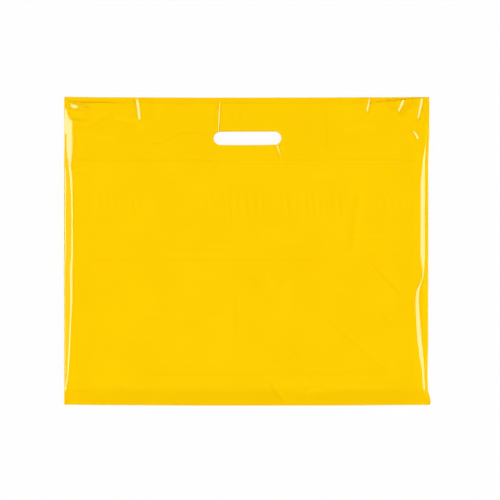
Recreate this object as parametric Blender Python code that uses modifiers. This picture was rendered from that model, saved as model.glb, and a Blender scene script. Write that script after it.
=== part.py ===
"""A plastic carrier bag, lying on its back as it would come to rest.

The bag is one length of blown polythene film. Followed round from the inside of the
front, the film hangs down as the front's turned-over top, folds over the front lip,
runs down the front panel, tucks up and down again as the bottom gusset, runs up the
back panel, folds over the back lip and ends as the back's turned-over top. Two hot-cut
welds close the sides, and a handle slot is punched through every layer.

Lengths are in metres. X runs along the mouth, +Y points to the mouth, +Z is up. The
origin is below the middle of the bag, on the surface that it lies on.
"""

import math

import bmesh
import bpy

# Driving dimensions.
WIDTH = 0.547  # over the two side welds, as it lies
HEIGHT = 0.462  # from the bottom fold to the back lip
FILM = 0.00007  # thickness of the film
LOFT = 0.0105  # how high the air inside holds the front panel
FRONT_LIP_DROP = 0.0094  # the front lip lies this far below the back lip
FRONT_TURNED_TOP = 0.0906  # depth of film turned in at the front lip
BACK_TURNED_TOP = 0.0946  # depth of film turned in at the back lip
GUSSET_DEPTH = 0.048  # from the bottom edge up to the gusset's inner fold
SLOT_LENGTH = 0.1022
SLOT_HEIGHT = 0.0214
SLOT_BELOW_LIP = 0.0614  # from the back lip down to the slot's centre line
SLOT_SHIFT = 0.0013  # the slot's centre, towards +X from the bag's centre line

# The side weld: a bead into which every layer runs.
WELD_WIDTH = 0.0012
WELD_THICKNESS = 0.0009
WELD_ROUNDING = 0.0002
WELD_LIFT = 0.0028  # height of the bead's centre above the floor
WELD_OVERRUN = 0.0004  # the bead is this much longer than the film at each end
LAYER_STEP = 0.00013  # from one layer to the next inside the bead
WELD_ENTRY = 0.0002  # how far inside the bead the layers have come together
SIDE_ROLL = 0.0135  # width of the rounded side beside the weld

# The section down the middle of the bag.
TURNED_GAP = 0.0008  # between a panel and its turned-over top, at the lip
TURNED_SAG = 0.0004  # how much further the turned-over top hangs off at its end
FOLD_NOSE = 0.0005  # how far a fold's rounded nose reaches past the flat film
FRONT_FOLD_HEIGHT = 0.0034  # height of the front panel at the bottom fold
GUSSET_LEAF_GAP = 0.0009  # between a panel and its gusset leaf, at the bottom fold
INNER_FOLD_HEIGHT = 0.0046  # height of the lower leaf at the gusset's inner fold
BOTTOM_SLOPE = 0.020  # length of the even slope up from the bottom fold
BOTTOM_EASE = 0.012  # length over which the slope runs out into the front panel
FRONT_FOLD_INSET = 0.0010  # the front bottom fold, from the bottom edge

FOLD_STEPS = 6  # straight pieces in a fold's nose
MIDDLE_STEPS = 3  # stations from the centre line to the side's round
ROLL_STEPS = 9  # stations over the side's round
SLOT_CORNER_STEPS = 10

# Each layer's place in the stack inside the weld, counted in layer steps.
BACK_PANEL, BACK_INNER, FRONT_INNER, FRONT_PANEL = -1.5, -0.5, 0.5, 1.5

FILM_COLOUR = (0.93, 0.60, 0.005, 1.0)
FILM_ROUGHNESS = 0.22


def clear_scene():
    """Remove what the start-up scene holds."""
    for thing in list(bpy.data.objects):
        bpy.data.objects.remove(thing, do_unlink=True)


def new_collection(name):
    """Return a collection linked to the scene."""
    collection = bpy.data.collections.new(name)
    bpy.context.scene.collection.children.link(collection)
    return collection


def new_object(name, bm, collection):
    """Turn a bmesh into an object of that name."""
    mesh = bpy.data.meshes.new(name)
    bm.to_mesh(mesh)
    bm.free()
    thing = bpy.data.objects.new(name, mesh)
    collection.objects.link(thing)
    return thing


def film_material():
    """Glossy yellow polythene."""
    material = bpy.data.materials.new("yellow_polythene_film")
    material.use_nodes = True
    shader = material.node_tree.nodes["Principled BSDF"]
    shader.inputs["Base Color"].default_value = FILM_COLOUR
    shader.inputs["Roughness"].default_value = FILM_ROUGHNESS
    shader.inputs["Metallic"].default_value = 0.0
    return material


def fold(start, end, nose, from_layer, to_layer):
    """A half-round fold between two points that lie one above the other."""
    points = []
    for step in range(FOLD_STEPS + 1):
        turn = math.pi * step / FOLD_STEPS
        share = (1 - math.cos(turn)) / 2
        points.append(
            (
                start[0] + share * (end[0] - start[0]) + nose * math.sin(turn),
                start[1] + share * (end[1] - start[1]),
                from_layer + share * (to_layer - from_layer),
            )
        )
    return points


def bottom_slope(fold_y, fold_z, top_z):
    """The front panel's way down to the bottom fold, from its top end.

    It leaves the flat panel along a parabola and then runs down evenly.
    """
    steepness = (top_z - fold_z) / (BOTTOM_SLOPE + BOTTOM_EASE / 2)
    points = []
    for share in (1.0, 0.75, 0.5, 0.25, 0.0):
        along = BOTTOM_EASE * share
        drop = steepness * (BOTTOM_EASE - along) ** 2 / (2 * BOTTOM_EASE)
        points.append((fold_y + BOTTOM_SLOPE + along, top_z - drop, FRONT_PANEL))
    half_way = (fold_y + BOTTOM_SLOPE / 2, fold_z + steepness * BOTTOM_SLOPE / 2, FRONT_PANEL)
    return points + [half_way]


def film_section():
    """The film's line down the middle of the bag, as (y, z, layer) points."""
    lip_y = HEIGHT / 2 - WELD_OVERRUN - FILM / 2 - FOLD_NOSE
    front_lip_y = lip_y - FRONT_LIP_DROP
    bottom_y = -HEIGHT / 2 + WELD_OVERRUN + FILM / 2 + FOLD_NOSE
    front_fold_y = bottom_y + FRONT_FOLD_INSET
    back_z = FILM / 2
    front_z = LOFT - FILM / 2

    front_turned_end = (
        front_lip_y + FOLD_NOSE - FRONT_TURNED_TOP,
        front_z - TURNED_GAP - TURNED_SAG,
    )
    front_turned_top = (front_lip_y, front_z - TURNED_GAP)
    front_lip = (front_lip_y, front_z)
    front_fold = (front_fold_y, FRONT_FOLD_HEIGHT)
    front_leaf = (front_fold_y, FRONT_FOLD_HEIGHT - GUSSET_LEAF_GAP)
    inner_y = bottom_y + GUSSET_DEPTH - 2 * FOLD_NOSE
    inner_top = (inner_y, INNER_FOLD_HEIGHT + GUSSET_LEAF_GAP)
    inner_low = (inner_y, INNER_FOLD_HEIGHT)
    back_leaf = (bottom_y, back_z + GUSSET_LEAF_GAP)
    back_fold = (bottom_y, back_z)
    back_lip = (lip_y, back_z)
    back_turned_top = (lip_y, back_z + TURNED_GAP)
    back_turned_end = (
        lip_y + FOLD_NOSE - BACK_TURNED_TOP,
        back_z + TURNED_GAP + TURNED_SAG,
    )

    points = [(*front_turned_end, FRONT_INNER)]
    points += fold(front_turned_top, front_lip, FOLD_NOSE, FRONT_INNER, FRONT_PANEL)
    points += bottom_slope(front_fold_y, FRONT_FOLD_HEIGHT, front_z)
    points += fold(front_fold, front_leaf, -FOLD_NOSE, FRONT_PANEL, FRONT_INNER)
    points += fold(inner_top, inner_low, FOLD_NOSE, FRONT_INNER, BACK_INNER)
    points += fold(back_leaf, back_fold, -FOLD_NOSE, BACK_INNER, BACK_PANEL)
    points += fold(back_lip, back_turned_top, FOLD_NOSE, BACK_PANEL, BACK_INNER)
    points.append((*back_turned_end, BACK_INNER))
    return points


def stations():
    """Distances from the bag's centre line at which the film's section is set out.

    They are far apart across the flat middle and close together on the side's round.
    """
    roll_start = WIDTH / 2 - SIDE_ROLL
    middle = [roll_start * step / MIDDLE_STEPS for step in range(MIDDLE_STEPS)]
    roll = [
        roll_start + (closed_at() - roll_start) * step / ROLL_STEPS
        for step in range(ROLL_STEPS + 1)
    ]
    film_edge = WIDTH / 2 - WELD_WIDTH / 2
    return middle + roll + [film_edge]


def closed_at():
    """The distance from the centre line at which the layers have come together."""
    return WIDTH / 2 - WELD_WIDTH + WELD_ENTRY


def openness(x):
    """1 where the layers lie at their full spacing, easing to 0 at the weld."""
    share = (closed_at() - x) / (closed_at() - (WIDTH / 2 - SIDE_ROLL))
    share = min(1.0, max(0.0, share))
    return share * share * (3 - 2 * share)


def placed_section(section, x):
    """The section's points at a station, drawn together towards the weld."""
    spread = openness(x)
    points = []
    for y, z, layer in section:
        in_weld = WELD_LIFT + layer * LAYER_STEP
        points.append((x, y, in_weld + (z - in_weld) * spread))
    return points


def film_half(collection):
    """The +X half of the folded film, a section drawn out from station to station."""
    section = film_section()
    bm = bmesh.new()
    verts = [bm.verts.new(point) for point in placed_section(section, 0.0)]
    edges = [bm.edges.new(pair) for pair in zip(verts, verts[1:])]
    for x in stations()[1:]:
        grown = bmesh.ops.extrude_edge_only(bm, edges=edges)["geom"]
        edges = [item for item in grown if isinstance(item, bmesh.types.BMEdge)]
        edges = [edge for edge in edges if len(edge.link_faces) == 1]
        new_verts = [item for item in grown if isinstance(item, bmesh.types.BMVert)]
        for vert, point in zip(ordered_chain(new_verts, edges), placed_section(section, x)):
            vert.co = point
    bmesh.ops.recalc_face_normals(bm, faces=bm.faces)
    return new_object("carrier_bag", bm, collection)


def ordered_chain(verts, edges):
    """The vertices of an open chain of edges, in order from the oldest end."""
    chained = {edge for edge in edges}
    ends = [vert for vert in verts if sum(edge in chained for edge in vert.link_edges) == 1]
    chain = [min(ends, key=verts.index)]
    seen = set(chain)
    while len(chain) < len(verts):
        for edge in chain[-1].link_edges:
            other = edge.other_vert(chain[-1])
            if edge in chained and other not in seen:
                chain.append(other)
                seen.add(other)
                break
    return chain


def bar(name, size, centre, rounding, axes, steps, collection):
    """A box with the edges that run along the given axis rounded, as a tool object."""
    bm = bmesh.new()
    bmesh.ops.create_cube(bm, size=1.0)
    bmesh.ops.scale(bm, vec=size, verts=bm.verts)
    bmesh.ops.translate(bm, vec=centre, verts=bm.verts)
    along = [
        edge
        for edge in bm.edges
        if abs((edge.verts[1].co - edge.verts[0].co).normalized()[axes]) > 0.9
    ]
    bmesh.ops.bevel(
        bm, geom=along, offset=rounding, segments=steps, profile=0.5, affect="EDGES"
    )
    tool = new_object(name, bm, collection)
    tool.display_type = "WIRE"
    tool.hide_render = True
    return tool


def weld_bead(side, collection):
    """The bead of melted film along one side, side being -1 or 1."""
    return bar(
        "side_weld_right" if side > 0 else "side_weld_left",
        (WELD_WIDTH, HEIGHT, WELD_THICKNESS),
        (side * (WIDTH - WELD_WIDTH) / 2, 0.0, WELD_LIFT),
        WELD_ROUNDING,
        1,
        2,
        collection,
    )


def slot_punch(collection):
    """The handle slot's round-ended punch."""
    height = 2 * LOFT
    return bar(
        "slot_punch",
        (SLOT_LENGTH, SLOT_HEIGHT, height),
        (SLOT_SHIFT, HEIGHT / 2 - SLOT_BELOW_LIP, LOFT / 2),
        SLOT_HEIGHT * 0.499,
        2,
        SLOT_CORNER_STEPS,
        collection,
    )


def boolean(thing, operation, tool):
    """Join or cut an object with a tool object.

    The exact solver loses walls as thin as this film, so the manifold one does it.
    """
    modifier = thing.modifiers.new(f"{operation.lower()} {tool.name}", "BOOLEAN")
    modifier.operation = operation
    modifier.solver = "MANIFOLD"
    modifier.object = tool


def carrier_bag(collection, tools):
    """The whole bag: the folded film, welded at the sides and punched."""
    bag = film_half(collection)
    bag.data.materials.append(film_material())
    mirror = bag.modifiers.new("other half", "MIRROR")
    mirror.merge_threshold = 0.00001
    thickness = bag.modifiers.new("film thickness", "SOLIDIFY")
    thickness.thickness = FILM
    thickness.offset = 0.0
    thickness.use_even_offset = True
    for side in (-1, 1):
        boolean(bag, "UNION", weld_bead(side, tools))
    boolean(bag, "DIFFERENCE", slot_punch(tools))
    return bag


def main():
    """Build the bag."""
    clear_scene()
    parts = new_collection("plastic_carrier_bag")
    tools = new_collection("welds_and_punch")
    carrier_bag(parts, tools)


main()
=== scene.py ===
"""A yellow polythene carrier bag, lying on its back on a white table.

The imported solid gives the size. The film that shows is worked out here as two folded
sheets that meet at the gusset's inner fold, with the puffed sides, creases and buckles
of a film bag, and a melted bead along each side.

Lengths in the classes are in millimetres. X runs along the mouth, +Y points to the
mouth and +Z is up.
"""

import logging
import math
from dataclasses import dataclass, field
from enum import Enum

import bpy
import numpy as np
from mathutils import Matrix, Vector


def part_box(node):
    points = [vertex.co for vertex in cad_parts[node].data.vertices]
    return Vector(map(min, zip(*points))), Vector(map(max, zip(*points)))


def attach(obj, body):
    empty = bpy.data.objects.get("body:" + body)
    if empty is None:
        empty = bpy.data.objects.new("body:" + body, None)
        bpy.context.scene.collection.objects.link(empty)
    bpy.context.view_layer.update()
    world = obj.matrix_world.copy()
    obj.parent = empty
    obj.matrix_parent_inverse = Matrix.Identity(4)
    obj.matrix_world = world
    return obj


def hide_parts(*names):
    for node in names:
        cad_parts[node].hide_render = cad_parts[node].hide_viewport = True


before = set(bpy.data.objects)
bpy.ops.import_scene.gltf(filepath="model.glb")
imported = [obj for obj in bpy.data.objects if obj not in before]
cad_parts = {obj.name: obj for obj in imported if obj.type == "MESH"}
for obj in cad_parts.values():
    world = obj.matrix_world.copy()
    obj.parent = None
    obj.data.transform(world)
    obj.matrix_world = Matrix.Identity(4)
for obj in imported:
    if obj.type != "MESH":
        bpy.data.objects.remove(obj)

LOG = logging.getLogger("carrier_bag")
MM = 0.001
FINE_STEPS = 6000  # points along which a graded spacing is summed
LATTICE = 64  # steps after which the noise repeats
CAD_NODE = "carrier_bag"


Place = tuple[float, float]
Table = tuple[Place, ...]


class Side(Enum):
    """One long side of the bag, with the way that it faces along X."""

    LEFT = -1
    RIGHT = 1


class Fold(Enum):
    """Which way the nose of a fold between two layers points along Y."""

    TO_BOTTOM = -1
    TO_MOUTH = 1


class Bulge(Enum):
    """Which way a crease stands out of the film."""

    RIDGE = 1
    GROOVE = -1


# ---------------------------------------------------------------- curves and grids


def smooth(share: np.ndarray) -> np.ndarray:
    """Ease from 0 to 1: three times the square less twice the cube of the share.

    Args:
        share: how far along, clipped to 0 and 1.

    Returns:
        The eased share.
    """
    share = np.clip(share, 0.0, 1.0)
    return share * share * (3.0 - 2.0 * share)


def curve(places: np.ndarray, table: Table) -> np.ndarray:
    """Read a value between the stations of a table, eased so that it has no kinks.

    Args:
        places: where to read, in the table's own unit.
        table: (place, value) stations in rising order.

    Returns:
        The value at each place.
    """
    at, value = np.array(table, float).T
    index = np.clip(np.searchsorted(at, places) - 1, 0, len(at) - 2)
    share = smooth((places - at[index]) / (at[index + 1] - at[index]))
    return value[index] + share * (value[index + 1] - value[index])


def graded(start: float, end: float, spacing: Table) -> np.ndarray:
    """Points from start to end whose gaps follow a table of spacings.

    Args:
        start: first point, in mm.
        end: last point, in mm.
        spacing: (place, gap) stations in rising order, in mm.

    Returns:
        The points, both ends included.
    """
    fine = np.linspace(start, end, FINE_STEPS)
    at, gap = np.array(spacing, float).T
    density = 1.0 / np.interp(fine, at, gap)
    count = np.concatenate([[0.0], np.cumsum((density[1:] + density[:-1]) / 2)])
    count *= (end - start) / (len(fine) - 1)
    whole = int(math.ceil(count[-1]))
    return np.interp(np.linspace(0.0, count[-1], whole + 1), count, fine)


def value_noise(x: np.ndarray, y: np.ndarray, seed: int) -> np.ndarray:
    """Smooth noise between -1 and 1: random values on a unit lattice, eased between.

    Args:
        x: first coordinate, in lattice steps.
        y: second coordinate, in lattice steps.
        seed: which noise.

    Returns:
        The noise at each point.
    """
    size = LATTICE
    lattice = np.random.default_rng(seed).uniform(-1.0, 1.0, (size, size))
    x0, y0 = np.floor(x).astype(int), np.floor(y).astype(int)
    fx, fy = smooth(x - x0), smooth(y - y0)
    a, b = lattice[x0 % size, y0 % size], lattice[(x0 + 1) % size, y0 % size]
    c, d = lattice[x0 % size, (y0 + 1) % size], lattice[(x0 + 1) % size, (y0 + 1) % size]
    return (a + (b - a) * fx) * (1 - fy) + (c + (d - c) * fx) * fy


# ---------------------------------------------------------------- sizes of the bag


@dataclass(frozen=True)
class BagSizes:
    """The bag's driving sizes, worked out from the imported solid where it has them.

    Gathered is the width of film that the puffed sides take up as it lies.
    """

    width: float
    height: float
    loft: float
    front_lip_drop: float = 9.4
    front_turned_top: float = 90.6
    back_turned_top: float = 94.6
    gusset_depth: float = 48.0
    slot_length: float = 101.2
    slot_height: float = 20.0
    slot_below_lip: float = 61.7
    slot_shift: float = 1.3
    weld_lift: float = 2.6
    bead_width: float = 1.2
    bead_thickness: float = 0.8
    gathered: float = 12.0

    @property
    def half_width(self) -> float:
        """Half the width over the welds."""
        return self.width / 2

    @property
    def half_height(self) -> float:
        """Half the height from the bottom fold to the back lip."""
        return self.height / 2

    @property
    def slot_y(self) -> float:
        """The slot's centre line."""
        return self.half_height - self.slot_below_lip

    @property
    def front_lip(self) -> float:
        """The front panel's lip."""
        return self.half_height - self.front_lip_drop

    @property
    def inner_fold(self) -> float:
        """The gusset's inner fold."""
        return -self.half_height + self.gusset_depth

    @property
    def front_flat(self) -> Place:
        """The front sheet laid out flat, in metres: its width and its length."""
        length = self.height - self.front_lip_drop + self.front_turned_top + self.gusset_depth
        return self.width * MM + self.gathered * MM, length * MM

    @property
    def back_flat(self) -> Place:
        """The back sheet laid out flat, in metres: its width and its length."""
        length = self.height + self.back_turned_top + self.gusset_depth
        return self.width * MM + self.gathered * MM, length * MM


@dataclass(frozen=True)
class Outline:
    """How the bag's four edges wander from a true rectangle, in mm.

    Each table gives (place along the edge, how far out of true). The welds draw the
    sides in a little below the turned-over top, and the lower right corner splays.
    """

    left: Table = ((-232, 0.2), (-150, 0.0), (0, 0.3), (120, 0.1), (165, -0.3), (232, 0.2))
    right: Table = (
        (-232, 1.4), (-226, 2.6), (-206, -1.4), (-180, -1.9), (-130, -1.2), (30, -1.0),
        (130, -1.1), (160, -0.2), (178, 0.6), (215, 0.8), (232, 0.3),
    )
    back_lip: Table = (
        (-274, 0.3), (-200, -0.5), (-60, -0.9), (80, -0.8), (200, -0.4), (274, 0.1),
    )
    front_lip: Table = (
        (-274, 3.4), (-238, 0.4), (-60, 0.0), (180, 0.0), (210, 2.6), (262, 7.6), (274, 7.8),
    )
    bottom: Table = ((-274, 0.9), (-200, 0.2), (-40, -0.5), (120, -0.3), (274, 0.5))


# ---------------------------------------------------------------- marks in the film


@dataclass(frozen=True)
class Buckle:
    """A buckle with one steep flank, which mirrors the light, and one gentle one.

    Across its line the film climbs evenly over the flank's width and sinks back,
    eased, over the run-out. Along its line it swells from nothing and dies away.
    """

    start: Place
    end: Place
    width: float
    slope: float
    facing: Side
    run_out: float = 14.0
    bend: float = 0.0
    start_taper: float = 0.12
    end_taper: float = 0.30

    def height(self, x: np.ndarray, y: np.ndarray) -> np.ndarray:
        """The film's extra height.

        Args:
            x: places along the mouth, in mm.
            y: places towards the mouth, in mm.

        Returns:
            The height at each place, in mm.
        """
        (x0, y0), (x1, y1) = self.start, self.end
        length = math.hypot(x1 - x0, y1 - y0)
        ax, ay = (x1 - x0) / length, (y1 - y0) / length
        along = ((x - x0) * ax + (y - y0) * ay) / length
        across = (x - x0) * ay - (y - y0) * ax
        across = across - self.bend * np.sin(math.pi * np.clip(along, 0, 1))
        if ay * self.facing.value < 0:
            across = -across
        body = smooth((along + self.start_taper) / (2 * self.start_taper))
        body = body * smooth((1 + self.end_taper - along) / (2 * self.end_taper))
        width = self.width * (0.25 + 0.75 * body)
        climb = np.clip(-across / width + 0.5, 0.0, 1.0)
        sink = 1.0 - smooth((-across - width / 2) / self.run_out)
        return math.tan(math.radians(self.slope)) * width * climb * sink * smooth(body * 1.3)


@dataclass(frozen=True)
class Crease:
    """A soft fold line that was pressed into the film.

    Its section is a bell curve, and it fades at both ends. Its tone paints shade along it above
    nought and paints a highlight below nought, in place of the light across the crease.
    """

    points: Table
    width: float
    depth: float
    bulge: Bulge = Bulge.RIDGE
    fade: float = 12.0
    # tone: painted shade along the crease above nought, painted highlight below nought
    tone: float = 0.0

    def height(self, x: np.ndarray, y: np.ndarray) -> np.ndarray:
        """The film's extra height.

        Args:
            x: places along the mouth, in mm.
            y: places towards the mouth, in mm.

        Returns:
            The height at each place, in mm.
        """
        return self.bulge.value * self.depth * self.trace(x, y)

    def trace(self, x: np.ndarray, y: np.ndarray) -> np.ndarray:
        """How much of the crease there is, from 0 off it to 1 on its line.

        Args:
            x: places along the mouth, in mm.
            y: places towards the mouth, in mm.

        Returns:
            The share at each place.
        """
        best = np.full(x.shape, 1e9)
        run = np.zeros(x.shape)
        done = 0.0
        for (x0, y0), (x1, y1) in zip(self.points, self.points[1:]):
            length = math.hypot(x1 - x0, y1 - y0)
            along = ((x - x0) * (x1 - x0) + (y - y0) * (y1 - y0)) / length
            held = np.clip(along, 0.0, length)
            off = np.hypot(
                x - x0 - held * (x1 - x0) / length, y - y0 - held * (y1 - y0) / length
            )
            nearer = off < best
            best = np.where(nearer, off, best)
            run = np.where(nearer, done + held, run)
            done += length
        ends = smooth(run / self.fade) * smooth((done - run) / self.fade)
        return np.exp(-((best / self.width) ** 2)) * ends


@dataclass(frozen=True)
class Chatter:
    """A patch of short upright ripples, left where the film was pulled through a nip."""

    left: float
    right: float
    low: float
    high: float
    pitch: float
    depth: float
    # tone: painted shade along the crests and painted highlight in the troughs
    tone: float = 0.0
    slant: float = 0.08

    def height(self, x: np.ndarray, y: np.ndarray) -> np.ndarray:
        """The film's extra height: its wave times its depth.

        Args:
            x: places along the mouth, in mm.
            y: places towards the mouth, in mm.

        Returns:
            The height at each place, in mm.
        """
        return self.depth * self.trace(x, y)

    def trace(self, x: np.ndarray, y: np.ndarray) -> np.ndarray:
        """How much ripple there is: narrow crests, each the cube of a wave.

        Noise shifts the crests, makes them uneven and frays the patch's ends, and the
        whole fades at the patch's edges.

        Args:
            x: places along the mouth, in mm.
            y: places towards the mouth, in mm.

        Returns:
            The share at each place, below nought in the troughs.
        """
        edge = 2.0 * self.pitch
        inside = smooth((x - self.left) / edge) * smooth((self.right - x) / edge)
        tall = 0.35 * (self.high - self.low)
        wander = value_noise(x / (1.7 * self.pitch), y / 60.0, 11)
        uneven = 0.65 + 0.55 * value_noise(x / (0.9 * self.pitch) + 7.0, y / 30.0, 12)
        ragged = 0.7 * value_noise(x / (0.8 * self.pitch) + 3.0, x * 0 + 1.5, 13)
        inside = inside * smooth((y - self.low) / tall - 0.2 + ragged)
        inside = inside * smooth((self.high - y) / tall - 0.2 + ragged)
        turns = (x + self.slant * (y - self.low)) / self.pitch + 0.42 * wander
        wave = (0.5 + 0.5 * np.sin(2 * math.pi * turns)) ** 3
        return inside * uneven * (1.5 * wave - 0.35)


# ---------------------------------------------------------------- the puffed sides


@dataclass(frozen=True)
class SideRoll:
    """The round of film beside a weld, as a slope that changes away from the weld.

    Stations along the side give, from the weld inwards in mm: where the film leaves
    the weld, where it is steepest, where it starts to flatten, and where it has
    flattened, and the steepest slope in degrees.
    """

    stations: tuple

    def slopes(self, d: np.ndarray, y: np.ndarray) -> np.ndarray:
        """The film's slope away from the weld: up to the steepest, held, and down.

        Args:
            d: distances from the weld's outer edge, in mm.
            y: places along the side, in mm.

        Returns:
            The slope as a rise over run.
        """
        rows = np.array(self.stations, float)
        leave, steep, ease, flat, angle = (
            curve(y, tuple(zip(rows[:, 0], rows[:, k]))) for k in range(1, 6)
        )
        up = np.clip((d - leave) / np.maximum(steep - leave, 0.1), 0.0, 1.0)
        down = np.clip((flat - d) / np.maximum(flat - ease, 0.1), 0.0, 1.0)
        return np.tan(np.radians(angle * up * down))


@dataclass(frozen=True)
class FrontForm:
    """The front panel's height over the floor."""

    sizes: BagSizes
    outline: Outline
    left_roll: SideRoll
    right_roll: SideRoll
    buckles: tuple[Buckle, ...]
    creases_and_ripples: tuple[Crease | Chatter, ...]
    fold_height: float = 1.2
    fold_margin: float = 6.0
    slope_run: float = 19.0
    slope_ease: float = 12.0
    swell_start: float = 10.0
    swell_reach: float = 45.0
    mouth_drop: float = 6.8
    mouth_reach: float = 80.0
    mouth_margin: float = 95.0
    # painted shade towards the bottom fold
    foot_painted_shade: float = 1.7
    wave_margin: float = 30.0
    waves: tuple[tuple[float, ...], ...] = (
        # height, length along X and along Y, start in X and in Y, seed
        (0.34, 74.0, 58.0, 3.1, 7.7, 21),
        (0.15, 31.0, 27.0, 9.3, 1.9, 22),
        (0.035, 12.0, 11.0, 5.5, 2.3, 23),
    )

    @property
    def marks(self) -> tuple[Buckle | Crease | Chatter, ...]:
        """Every mark that stands out of the film."""
        return self.buckles + self.creases_and_ripples

    def tone(self, x: np.ndarray, y: np.ndarray) -> np.ndarray:
        """How much painted shade, above nought, or painted highlight, below nought, lies on the
        film.

        Args:
            x: places along the mouth, in mm.
            y: places towards the mouth, in mm.

        Returns:
            The sum of every mark's trace times its tone, and the painted shade that darkens the
            film towards the bottom fold.
        """
        up = y + self.sizes.half_height
        # painted shade that darkens the film towards the bottom fold, where it slopes away from
        # the lamps
        total = self.foot_painted_shade * (1.0 - smooth((up - self.slope_run) / self.slope_ease))
        for mark in self.creases_and_ripples:
            if mark.tone:
                total = total + mark.tone * mark.trace(x, y)
        return total

    def height(self, x: np.ndarray, y: np.ndarray) -> np.ndarray:
        """The front panel's height: side rolls, a slow swell and every mark in it.

        Each roll is the running sum of its slope from the weld inwards. What is left
        to the full loft is made up by a slow swell. The mouth's lip sinks, eased, as
        the slack film closes, and towards the bottom fold the height comes down along
        a parabola and then evenly.

        Args:
            x: places along the mouth, in mm, one row for each y.
            y: places towards the mouth, in mm.

        Returns:
            The height of the film's middle, in mm.
        """
        sizes = self.sizes
        middle = x.shape[1] // 2
        to_left = x - x[:, :1]
        to_right = x[:, -1:] - x
        rise_left = self._climb(self.left_roll, to_left, y)
        rise_right = self._climb(self.right_roll, to_right[:, ::-1], y[:, ::-1])[:, ::-1]
        room = sizes.loft - sizes.weld_lift
        swell_left = (room - rise_left[:, middle : middle + 1]) * smooth(
            (to_left - self.swell_start) / self.swell_reach
        )
        swell_right = (room - rise_right[:, middle : middle + 1]) * smooth(
            (to_right - self.swell_start) / self.swell_reach
        )
        height = np.where(to_left < to_right, rise_left + swell_left, rise_right + swell_right)
        for mark in self.marks:
            height = height + mark.height(x, y)
        edge = np.minimum(to_left, to_right)
        height = height + self._waves(x, y) * smooth(edge / self.wave_margin)
        mouth = smooth((y - sizes.front_lip + self.mouth_reach) / self.mouth_reach)
        height = height - self.mouth_drop * mouth * smooth(edge / self.mouth_margin)
        return self._to_bottom_fold(height, x, y)

    def _climb(self, roll: SideRoll, d: np.ndarray, y: np.ndarray) -> np.ndarray:
        """Running sum of a roll's slope away from its weld, by the trapezium rule.

        Args:
            roll: the side's roll.
            d: distances from the weld, in mm, rising along each row.
            y: places towards the mouth, in mm.

        Returns:
            The rise since the weld, in mm.
        """
        slope = roll.slopes(d, y)
        steps = (slope[:, 1:] + slope[:, :-1]) / 2 * np.diff(d, axis=1)
        return np.concatenate([np.zeros((len(d), 1)), np.cumsum(steps, axis=1)], axis=1)

    def _waves(self, x: np.ndarray, y: np.ndarray) -> np.ndarray:
        """Slow unevenness of slack film: three sizes of noise added up.

        Args:
            x: places along the mouth, in mm.
            y: places towards the mouth, in mm.

        Returns:
            The extra height at each place, in mm.
        """
        return sum(
            height * value_noise(x / along_x + from_x, y / along_y + from_y, seed)
            for height, along_x, along_y, from_x, from_y, seed in self.waves
        )

    def _to_bottom_fold(self, height: np.ndarray, x: np.ndarray, y: np.ndarray) -> np.ndarray:
        """Bring the height down to the bottom fold.

        The share of the full height is even over the slope's run and then follows a
        parabola until it is whole. What is left of the share belongs to the fold's own
        height, away from the welds.

        Args:
            height: the panel's full height, in mm.
            x: places along the mouth, in mm, one row for each y.
            y: places towards the mouth, in mm.

        Returns:
            The height with the way down to the fold, in mm.
        """
        bottom = -self.sizes.half_height + curve(x, self.outline.bottom)
        up = y - bottom
        run, ease = self.slope_run, self.slope_ease
        steep = 1.0 / (run + ease / 2)
        past = np.clip(up - run, 0.0, ease)
        share = steep * (np.clip(up, 0.0, run) + past - past * past / (2 * ease))
        low = self.fold_height - self.sizes.weld_lift
        inward = smooth(np.minimum(x - x[:, :1], x[:, -1:] - x) / self.fold_margin)
        return self.sizes.weld_lift + low * (1 - share) * inward + height * share


# ---------------------------------------------------------------- meshes


@dataclass
class Surface:
    """A grid of points, with each attribute's value at every point."""

    points: np.ndarray
    attributes: dict[str, np.ndarray] = field(default_factory=dict)

    def mesh(self, name: str, slot: "Slot") -> bpy.types.Mesh:
        """Turn the grid into a mesh with the slot cut out of every layer.

        Args:
            name: the mesh's name.
            slot: the handle slot.

        Returns:
            The mesh, smooth shaded.
        """
        rows, columns = self.points.shape[:2]
        index = np.arange(rows * columns).reshape(rows, columns)
        quads = np.stack(
            [index[:-1, :-1], index[1:, :-1], index[1:, 1:], index[:-1, 1:]], axis=-1
        ).reshape(-1, 4)
        points, quads, triangles = slot.cut(self.points, quads)
        used, renumbered = np.unique(
            np.concatenate([quads.ravel(), triangles.ravel()]), return_inverse=True
        )
        faces = renumbered[: quads.size].reshape(-1, 4).tolist()
        faces += renumbered[quads.size :].reshape(-1, 3).tolist()
        mesh = bpy.data.meshes.new(name)
        mesh.from_pydata((points[used] * MM).tolist(), [], faces)
        for label, values in self.attributes.items():
            layer = mesh.attributes.new(label, "FLOAT", "POINT")
            layer.data.foreach_set("value", values.reshape(-1)[used].astype(np.float32))
        mesh.shade_smooth()
        mesh.update()
        return mesh


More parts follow.
